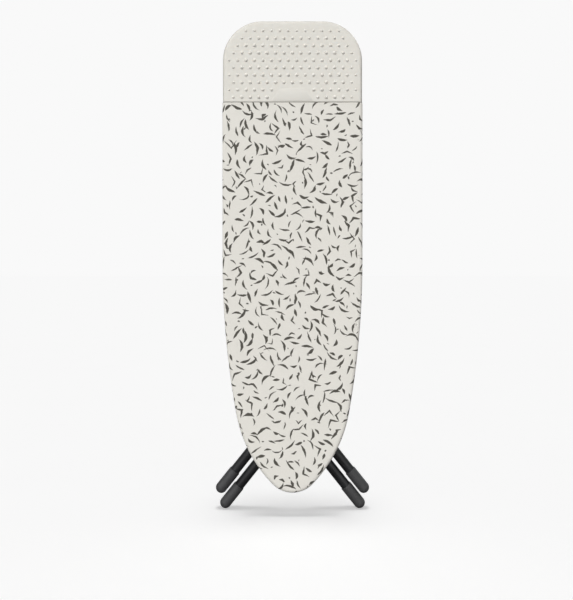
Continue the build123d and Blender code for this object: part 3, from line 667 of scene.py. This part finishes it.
# A wave texture of scale 1 repeats every 0.314.
yarn, wave_pitch = 0.0012, 0.314
warp = add(tree, "ShaderNodeTexWave", {"Vector": cloth_place, "Scale": wave_pitch / yarn},
           bands_direction="X")
weft = add(tree, "ShaderNodeTexWave", {"Vector": cloth_place, "Scale": wave_pitch / yarn},
           bands_direction="Y")
weave = maths(tree, "MULTIPLY", warp.outputs["Fac"], weft.outputs["Fac"])
slub = noisy(tree, cloth_place, 0.0035, 3.0)
ground = blended(tree, slub, "#E8E5DE", "#DEDBD3")
dry = mapped(tree, slub, 0.3, 0.7, 1.0, 0.955)
covered = maths(tree, "MULTIPLY", printed, dry)
shade = blended(tree, covered, ground, "#4C4942")
height = add(tree, "ShaderNodeSeparateXYZ", [place])
# Painted shade: the cloth is darkened in a narrow band just below the seam, where it turns into the
# groove under the iron rest.
fold = mapped(tree, height.outputs["Z"], seam_z - 0.0019, seam_z - 0.0006, 0.0, 0.8)
shade = blended(tree, fold, shade, "#5C5954")
bump = bumped(tree, 0.35, 0.00018, weave)
plug(tree, shader, {"Base Color": shade, "Normal": bump})
dress(cover, cotton)
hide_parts("cover")
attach(cover, "board")


# ---- Stitching ---------------------------------------------------------------------------------
# Lockstitch in off-white polyester thread: one row closes the cord casing all round the hem, and
# one holds the turned-in top edge below the iron rest.
stitch_pitch, stitch_length, thread_radius, thread_ply = 0.0042, 0.0031, 0.00032, 0.0006
tree, size = geometry_tree("row of stitches", {
    "Path": "Object", "Pitch": "Float", "Length": "Float", "Thread": "Float",
    "Finish": "Material"})
path = add(tree, "GeometryNodeObjectInfo", {"Object": size["Path"]})
path = add(tree, "GeometryNodeMeshToCurve", [path.outputs["Geometry"]])
spots = add(tree, "GeometryNodeCurveToPoints", {"Curve": path, "Length": size["Pitch"]},
            mode="LENGTH")
bead = add(tree, "GeometryNodeMeshIcoSphere", {"Radius": 1.0, "Subdivisions": 1})
thin = maths(tree, "MULTIPLY", size["Length"], 0.5)
shape = add(tree, "ShaderNodeCombineXYZ", [size["Thread"], size["Thread"], thin])
bead = add(tree, "GeometryNodeTransform", {"Geometry": bead, "Scale": shape})
bead = add(tree, "GeometryNodeSetShadeSmooth", [bead])
row = add(tree, "GeometryNodeInstanceOnPoints", {
    "Points": spots.outputs["Points"], "Instance": bead, "Rotation": spots.outputs["Rotation"]})
close_tree(tree, row, size["Finish"])

thread, thread_tree, shader, place = finish("polyester sewing thread", {
    "Roughness": 0.6, "Sheen Weight": 0.3})
twist = add(thread_tree, "ShaderNodeTexWave", {"Vector": place, "Scale": wave_pitch / thread_ply},
            bands_direction="DIAGONAL")
tint = blended(thread_tree, twist.outputs["Fac"], "#D9D5CB", "#C4C0B4")
bump = bumped(thread_tree, 0.4, 0.0001, twist.outputs["Fac"])
plug(thread_tree, shader, {"Base Color": tint, "Normal": bump})


def stitched(name, route):
    """A row of stitches along a route of points."""
    guide = drawn(name + " path", route, [(k, k + 1) for k in range(len(route) - 1)])
    row = grown(name, tree, {"Path": guide, "Pitch": stitch_pitch, "Length": stitch_length,
                             "Thread": thread_radius, "Finish": thread}, "board")
    bpy.data.objects.remove(guide)
    return row


casing_inset, seam_row_z = hem_inset - 0.0045, seam_z - 0.0055
way, hem_route = 0.0, []
for k, (x, z, facing, up) in enumerate(cover_line):
    if k:
        before = cover_line[k - 1]
        way += hypot(x - before[0], z - before[1])
    lift = pucker(way, casing_inset, hem_y) + thread_radius * 0.5
    hem_route.append((x - facing * casing_inset, hem_y + lift, z - up * casing_inset))
hem_stitches = stitched("hem_stitches", hem_route)
seam_half = board_width / 2 - edge_round
seam_route = [(seam_half * (k / 40 - 1), front_y - thread_radius * 0.4, seam_row_z)
              for k in range(81)]
seam_stitches = stitched("seam_stitches", seam_route)


# ---- Iron rest ---------------------------------------------------------------------------------
# A cap of heat-proof silicone, moulded in one piece and stretched over the tail. Rows of domed
# studs keep the hot sole plate off its face, and a plain tab is left smooth at its lower edge.
rest_wall = 0.0015
rest_stops = seam_stops[::-1]
rest_line = both_sides(tail_side(0.004, [seam_z + stop for stop in rest_stops])[::-1])
rest_lip = 0.012
rest_round, rest_back_round = 0.008, 0.003
rest_side_y = front_y + rest_round
rest_profile = quarter(rest_inset + rest_round + 0.0005, front_y, rest_inset, rest_side_y, 7, True)
rest_profile += [(rest_inset, rest_side_y + (hem_y - rest_back_round - rest_side_y) * k / 3)
                 for k in range(1, 3)]
rest_profile += quarter(rest_inset, hem_y - rest_back_round, rest_inset + rest_back_round, hem_y, 4,
                        False)
rest_profile += [(rest_inset + rest_back_round + (rest_lip - rest_back_round) * k / 3, hem_y)
                 for k in range(1, 4)]
rest_profile += [(rest_profile[-1][0] + 0.0012 * sin(a), hem_y + 0.0005 * (1 - cos(a)))
                 for a in (radians(60), radians(120))]
skin = wrapped(rest_line, rest_profile, False, seam_sink)
corners, triangles = filled(inset_ring(rest_line, rest_profile[0][0]), 0.012,
                            [seam_z + stop for stop in rest_stops[1:-1]])
rest = skin_mesh("silicone_rest", *skin,
                 [(corners, triangles, lambda x, z: front_y + seam_sink(x, z))])
thick = rest.modifiers.new("wall", "SOLIDIFY")
thick.thickness, thick.offset = rest_wall, -1.0
plain(rest)

silicone, tree, shader, place = finish("matt moulded silicone", {
    "IOR": 1.41, "Subsurface Weight": 0.12, "Subsurface Radius": (0.004, 0.0035, 0.003),
    "Subsurface Scale": 0.6})
grain = noisy(tree, place, 0.0011, 3.0)
cloud = noisy(tree, place, 0.05, 3.0)
tint = blended(tree, grain, "#E2DFD7", "#DAD7CF")
height = add(tree, "ShaderNodeSeparateXYZ", [place])
# Painted shade: the silicone is darker towards the back, on its rounded edges and sides, so these
# edges read darker than the lit face.
painted_edge_shade = mapped(tree, height.outputs["Y"], front_y + 0.0003, front_y + 0.004, 0.0, 1.0)
tint = blended(tree, painted_edge_shade, tint, "#C3C0B8")
# Painted shade: the silicone is darkened in a narrow band just above the seam, where it turns into
# the groove.
fold = mapped(tree, height.outputs["Z"], seam_z + 0.0014, seam_z + 0.0005, 0.0, 0.8)
tint = blended(tree, fold, tint, "#5C5954")
rough = mapped(tree, cloud, 0.3, 0.7, 0.52, 0.66)
bump = bumped(tree, 0.4, 0.00015, grain)
plug(tree, shader, {"Base Color": tint, "Roughness": rough, "Normal": bump})
dress(rest, silicone)
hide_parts("iron_rest")
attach(rest, "board")

stud_pitch, stud_row_pitch, stud_radius, stud_height = 0.0231, 0.0202, 0.0058, 0.0034
stud_margin, first_row_drop = 0.012, 0.0297
stud_columns, stud_rows = 18, 10
small_stud, full_size_reach = 0.68, 0.055
tab_top_half, tab_low_half, tab_height, tab_slope = 0.033, 0.058, 0.038, 0.62
stud_profile = [(1.0, 0.0), (0.82, 0.1), (0.68, 0.34), (0.52, 0.68), (0.28, 0.94)]
sides = 14
stud_points = [(stud_radius * r * cos(2 * pi * k / sides), -stud_height * h,
                stud_radius * r * sin(2 * pi * k / sides))
               for r, h in stud_profile for k in range(sides)] + [(0, -stud_height, 0)]
stud_faces = [(j * sides + k, j * sides + (k + 1) % sides, (j + 1) * sides + (k + 1) % sides,
               (j + 1) * sides + k) for j in range(len(stud_profile) - 1) for k in range(sides)]
crown = (len(stud_profile) - 1) * sides
stud_faces += [(crown + k, crown + (k + 1) % sides, len(stud_points) - 1) for k in range(sides)]
stud = drawn("stud", stud_points, faces=stud_faces)
stud.data.shade_smooth()
edge_points = [(x, front_y, z) for x, z, facing, up in both_sides(
    (nose_side(0.01, [seam_z]) + tail_side(0.004, [seam_z])[1:]))[1:]]
edge_object = drawn("outline", edge_points,
                    [(k, (k + 1) % len(edge_points)) for k in range(len(edge_points))])

tree, size = geometry_tree("studs in staggered rows", {
    "Stud": "Object", "Outline": "Object", "Stencil": "Object", "Columns": "Int", "Rows": "Int",
    "Pitch": "Float", "Row Pitch": "Float", "Margin": "Float", "Top": "Vector",
    "Tab Top": "Float", "Tab Half": "Float", "Tab Slope": "Float", "Finish": "Material"})
total = maths(tree, "MULTIPLY", size["Columns"], size["Rows"])
cloud = add(tree, "GeometryNodePoints", {"Count": total})
index = add(tree, "GeometryNodeInputIndex")
row = maths(tree, "FLOOR", maths(tree, "DIVIDE", index, size["Columns"]))
column = maths(tree, "MODULO", index, size["Columns"])
odd = maths(tree, "MULTIPLY", maths(tree, "MODULO", row, 2.0), 0.5)
middle = maths(tree, "MULTIPLY_ADD", size["Columns"], 0.5, -0.5)
across = maths(tree, "ADD", maths(tree, "SUBTRACT", column, middle), odd)
across = maths(tree, "MULTIPLY", across, size["Pitch"])
down = maths(tree, "MULTIPLY", maths(tree, "MULTIPLY", row, size["Row Pitch"]), -1.0)
spot = add(tree, "ShaderNodeCombineXYZ", [across, 0.0, down])
spot = vectors(tree, "ADD", spot, size["Top"])
cloud = add(tree, "GeometryNodeSetPosition", {"Geometry": cloud, "Position": spot})
here = add(tree, "GeometryNodeInputPosition")
outline_info = add(tree, "GeometryNodeObjectInfo", {"Object": size["Outline"]})
gap = add(tree, "GeometryNodeProximity", {
    "Geometry": outline_info.outputs["Geometry"], "Sample Position": here}, target_element="EDGES")
crowded = add(tree, "FunctionNodeCompare", {0: gap.outputs["Distance"], 1: size["Margin"]},
              operation="LESS_THAN")
miss = off_stencil(tree, size["Stencil"], here)
place_of = add(tree, "ShaderNodeSeparateXYZ", [here])
aside = maths(tree, "ABSOLUTE", place_of.outputs["X"])
below = maths(tree, "SUBTRACT", size["Tab Top"], place_of.outputs["Z"])
flare = maths(tree, "MULTIPLY_ADD", below, size["Tab Slope"], size["Tab Half"])
on_tab = add(tree, "FunctionNodeCompare", {0: aside, 1: flare}, operation="LESS_THAN")
low_enough = add(tree, "FunctionNodeCompare", {0: below, 1: 0.0}, operation="GREATER_THAN")
on_tab = add(tree, "FunctionNodeBooleanMath", [on_tab, low_enough], operation="AND")
away = add(tree, "FunctionNodeBooleanMath", [crowded, miss], operation="OR")
away = add(tree, "FunctionNodeBooleanMath", [away, on_tab], operation="OR")
kept = add(tree, "GeometryNodeDeleteGeometry", [cloud, away], domain="POINT")
full = mapped(tree, gap.outputs["Distance"], stud_margin, full_size_reach, small_stud, 1.0)
stud_info = add(tree, "GeometryNodeObjectInfo", {"Object": size["Stud"]})
domes = add(tree, "GeometryNodeInstanceOnPoints", {
    "Points": kept, "Instance": stud_info.outputs["Geometry"], "Scale": full})
close_tree(tree, domes, size["Finish"])

grown("rest_studs", tree, {
    "Stud": stud, "Outline": edge_object, "Stencil": rest, "Columns": stud_columns,
    "Rows": stud_rows, "Pitch": stud_pitch, "Row Pitch": stud_row_pitch, "Margin": stud_margin,
    "Top": (0, front_y + 0.0002, tail_z - first_row_drop), "Tab Top": seam_z + tab_height,
    "Tab Half": tab_top_half - 0.001, "Tab Slope": tab_slope, "Finish": silicone},
    "board")
bpy.data.objects.remove(stud)
bpy.data.objects.remove(edge_object)

tab_corner, tab_rise, tab_sunk = 0.004, 0.00045, 0.0003
tab_low = seam_z + groove_reach + 0.0006
form = bmesh.new()
tab_outline = [(-tab_low_half, tab_low), (tab_low_half, tab_low),
               (tab_top_half, seam_z + tab_height), (-tab_top_half, seam_z + tab_height)]
form.faces.new([form.verts.new((x, front_y + tab_sunk, z)) for x, z in tab_outline])
bmesh.ops.bevel(form, geom=form.verts[:], offset=tab_corner, segments=5, profile=0.5,
                affect="VERTICES")
raised = bmesh.ops.extrude_face_region(form, geom=form.faces[:])
bmesh.ops.translate(form, vec=(0, -tab_rise - tab_sunk, 0),
                    verts=[v for v in raised["geom"] if isinstance(v, bmesh.types.BMVert)])
bmesh.ops.recalc_face_normals(form, faces=form.faces)
tab_mesh = bpy.data.meshes.new("rest_tab")
form.to_mesh(tab_mesh)
form.free()
tab = placed("rest_tab", tab_mesh)
soft = tab.modifiers.new("soft edge", "BEVEL")
soft.width, soft.segments, soft.limit_method = 0.0004, 3, "ANGLE"
plain(tab)
tab.data.shade_smooth()
dress(tab, silicone)
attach(tab, "board")


# ---- Legs --------------------------------------------------------------------------------------
# Four round steel tubes, each bent once, with two tube braces welded across the inner pair. They
# are powder coated near black with more gloss than the frame, and their feet are pushed on.
leg_paint = powder_coat("near-black gloss powder coat on steel tube", "#18181A", "#202123",
                        0.3, 0.0016, 0.00012)
paint(leg_paint, "inner_tube_left", "inner_tube_right", "outer_tube_left", "outer_tube_right",
      "inner_brace_upper", "inner_brace_lower", "carriage_bridge", "release_lever")
foot_plastic = moulded("grained black polypropylene", "#363637", "#434344", 0.0011, 0.00012, 0.45)
paint(foot_plastic, "inner_foot_left", "inner_foot_right", "outer_foot_left", "outer_foot_right")


# ---- Weld beads --------------------------------------------------------------------------------
# Each brace is welded all round where its coped end meets a tube. The bead is laid by hand in
# overlapping ripples, and it is coated together with the tubes.
bead_radius, ripple_pitch, ripple_share = 0.0014, 0.0014, 0.07
tree, size = geometry_tree("rippled weld bead", {
    "Path": "Object", "Bead": "Float", "Pitch": "Float", "Ripple": "Float", "Finish": "Material"})
path = add(tree, "GeometryNodeObjectInfo", {"Object": size["Path"]})
path = add(tree, "GeometryNodeMeshToCurve", [path.outputs["Geometry"]])
along = add(tree, "GeometryNodeSplineParameter")
turns = maths(tree, "DIVIDE", along.outputs["Length"], size["Pitch"])
swell = maths(tree, "SINE", maths(tree, "MULTIPLY", turns, 2 * pi))
swell = maths(tree, "MULTIPLY_ADD", swell, size["Ripple"], 1.0)
swell = maths(tree, "MULTIPLY", swell, size["Bead"])
ring = add(tree, "GeometryNodeCurvePrimitiveCircle", {"Resolution": 8, "Radius": 1.0})
bead = add(tree, "GeometryNodeCurveToMesh", {"Curve": path, "Profile Curve": ring, "Scale": swell})
bead = add(tree, "GeometryNodeSetShadeSmooth", [bead])
close_tree(tree, bead, size["Finish"])

tube_low, tube_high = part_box("inner_tube_right")
tube_radius = (tube_high.y - tube_low.y) / 2
tube_middle = tube_low.x + tube_radius
weld_points, weld_edges, weld_steps, bead_seat = [], [], 320, bead_radius * 0.3
for brace in ("inner_brace_upper", "inner_brace_lower"):
    low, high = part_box(brace)
    centre, reach = (low + high) / 2, (high.z - low.z) / 2 + bead_seat
    for side in (-1, 1):
        start = len(weld_points)
        for k in range(weld_steps):
            a = 2 * pi * k / weld_steps
            across = tube_middle - sqrt(tube_radius ** 2 - (reach * sin(a)) ** 2)
            weld_points.append((side * (across - bead_seat), centre.y + reach * sin(a),
                                centre.z + reach * cos(a)))
            weld_edges.append((start + k, start + (k + 1) % weld_steps))
weld_guide = drawn("weld path", weld_points, weld_edges)
grown("brace_welds", tree, {
    "Path": weld_guide, "Bead": bead_radius, "Pitch": ripple_pitch, "Ripple": ripple_share,
    "Finish": leg_paint}, "inner_leg")
bpy.data.objects.remove(weld_guide)


# ---- Lock spring and lever grip ----------------------------------------------------------------
# The spring is coiled from oil-tempered wire, dark with a blue-brown cast. The grip is moulded
# over the end of the lever from the same nylon as the blocks, with a coarser grain for the hand.
spring_wire, tree, shader, place = finish("oil tempered spring wire", {"Metallic": 1.0})
scale = noisy(tree, place, 0.0025, 3.0)
tint = blended(tree, scale, "#4A4B50", "#6A6258")
rough = mapped(tree, scale, 0.3, 0.7, 0.3, 0.5)
plug(tree, shader, {"Base Color": tint, "Roughness": rough})
paint(spring_wire, "lock_spring")
grip_nylon = moulded("coarse grained black nylon", "#1D1D1E", "#2A2A2B", 0.0014, 0.00018, 0.5)
paint(grip_nylon, "lever_grip")


# ---- Floor, light and camera -------------------------------------------------------------------
# A wide pale floor that meets pale air. Broad soft light comes from above the left of the front,
# from straight in front and a little from the right, and as much again comes from behind. The
# floor has its own light, and a glow seen only directly, so it stays as pale as the air.
air_white, floor_glow, floor_reach = "#F9F9F9", 0.455, 60.0
floor_material, tree, shader, place = finish("pale studio floor", {
    "Roughness": 1.0, "Specular IOR Level": 0.0, "Emission Color": (1.0, 1.0, 1.0, 1.0)})
direct = add(tree, "ShaderNodeLightPath")
paper = add(tree, "ShaderNodeTexNoise", {"Vector": place, "Scale": 3.0, "Detail": 2.0})
tint = blended(tree, paper, "#E2E2E2", "#E4E4E4")
tint = blended(tree, direct.outputs["Is Camera Ray"], "#8C8C8C", tint)
glow = maths(tree, "MULTIPLY", direct.outputs["Is Camera Ray"], floor_glow)
plug(tree, shader, {"Base Color": tint, "Emission Strength": glow})
floor = drawn("studio_floor", [(x * floor_reach, y * floor_reach, 0) for x, y in (
    (-1, -1), (1, -1), (1, 1), (-1, 1))], faces=[(0, 1, 2, 3)])
dress(floor, floor_material)
only_floor = bpy.data.collections.new("lit floor")
only_floor.objects.link(floor)
all_but_floor = bpy.data.collections.new("unlit floor")
all_but_floor.objects.link(floor)
all_but_floor.collection_objects[0].light_linking.link_state = "EXCLUDE"


def soft_light(name, towards, spread, strength, lit):
    """A broad even light that shines along a direction on what it lights, softer if wide."""
    lamp = bpy.data.lights.new(name, "SUN")
    lamp.angle, lamp.energy = radians(spread), strength
    source = placed(name, lamp)
    source.rotation_euler = Vector(towards).to_track_quat("-Z", "Y").to_euler()
    source.light_linking.receiver_collection = lit


soft_light("key light", (0.5, 0.8, -0.75), 16, 2.25, all_but_floor)
soft_light("front light", (0.05, 1.0, 0.0), 62, 1.45, all_but_floor)
soft_light("fill light", (-0.8, 0.8, -0.3), 50, 0.42, all_but_floor)
soft_light("back key light", (-0.6, -0.8, -0.75), 16, 2.2, all_but_floor)
soft_light("back fill light", (0.1, -1.0, 0.0), 62, 1.45, all_but_floor)
soft_light("floor light", (0.0, 0.02, -1.0), 15, 1.35, only_floor)
world = bpy.data.worlds.new("studio air")
world.use_nodes = True
air = world.node_tree
air.nodes.clear()
seen = add(air, "ShaderNodeBackground", [linear(air_white), 1.0])
around = add(air, "ShaderNodeBackground", [(1.0, 1.0, 1.0, 1.0), 0.2])
direct = add(air, "ShaderNodeLightPath")
both = add(air, "ShaderNodeMixShader", [direct.outputs["Is Camera Ray"], around, seen])
add(air, "ShaderNodeOutputWorld", [both])
bpy.context.scene.world = world

camera_distance, camera_height = 1.7, 0.680
focal_length, shift_right, shift_down = 39.03455, 0.0104712, 0.0542757
lens = bpy.data.cameras.new("camera")
lens.sensor_fit, lens.sensor_width = "HORIZONTAL", 36.0
lens.lens, lens.shift_x, lens.shift_y = focal_length, -shift_right, -shift_down
camera = placed("camera", lens)
camera.location = (0, front_y - camera_distance, camera_height)
camera.rotation_euler = (pi / 2, 0, 0)
bpy.context.scene.camera = camera
bpy.context.scene.view_settings.view_transform = "Standard"
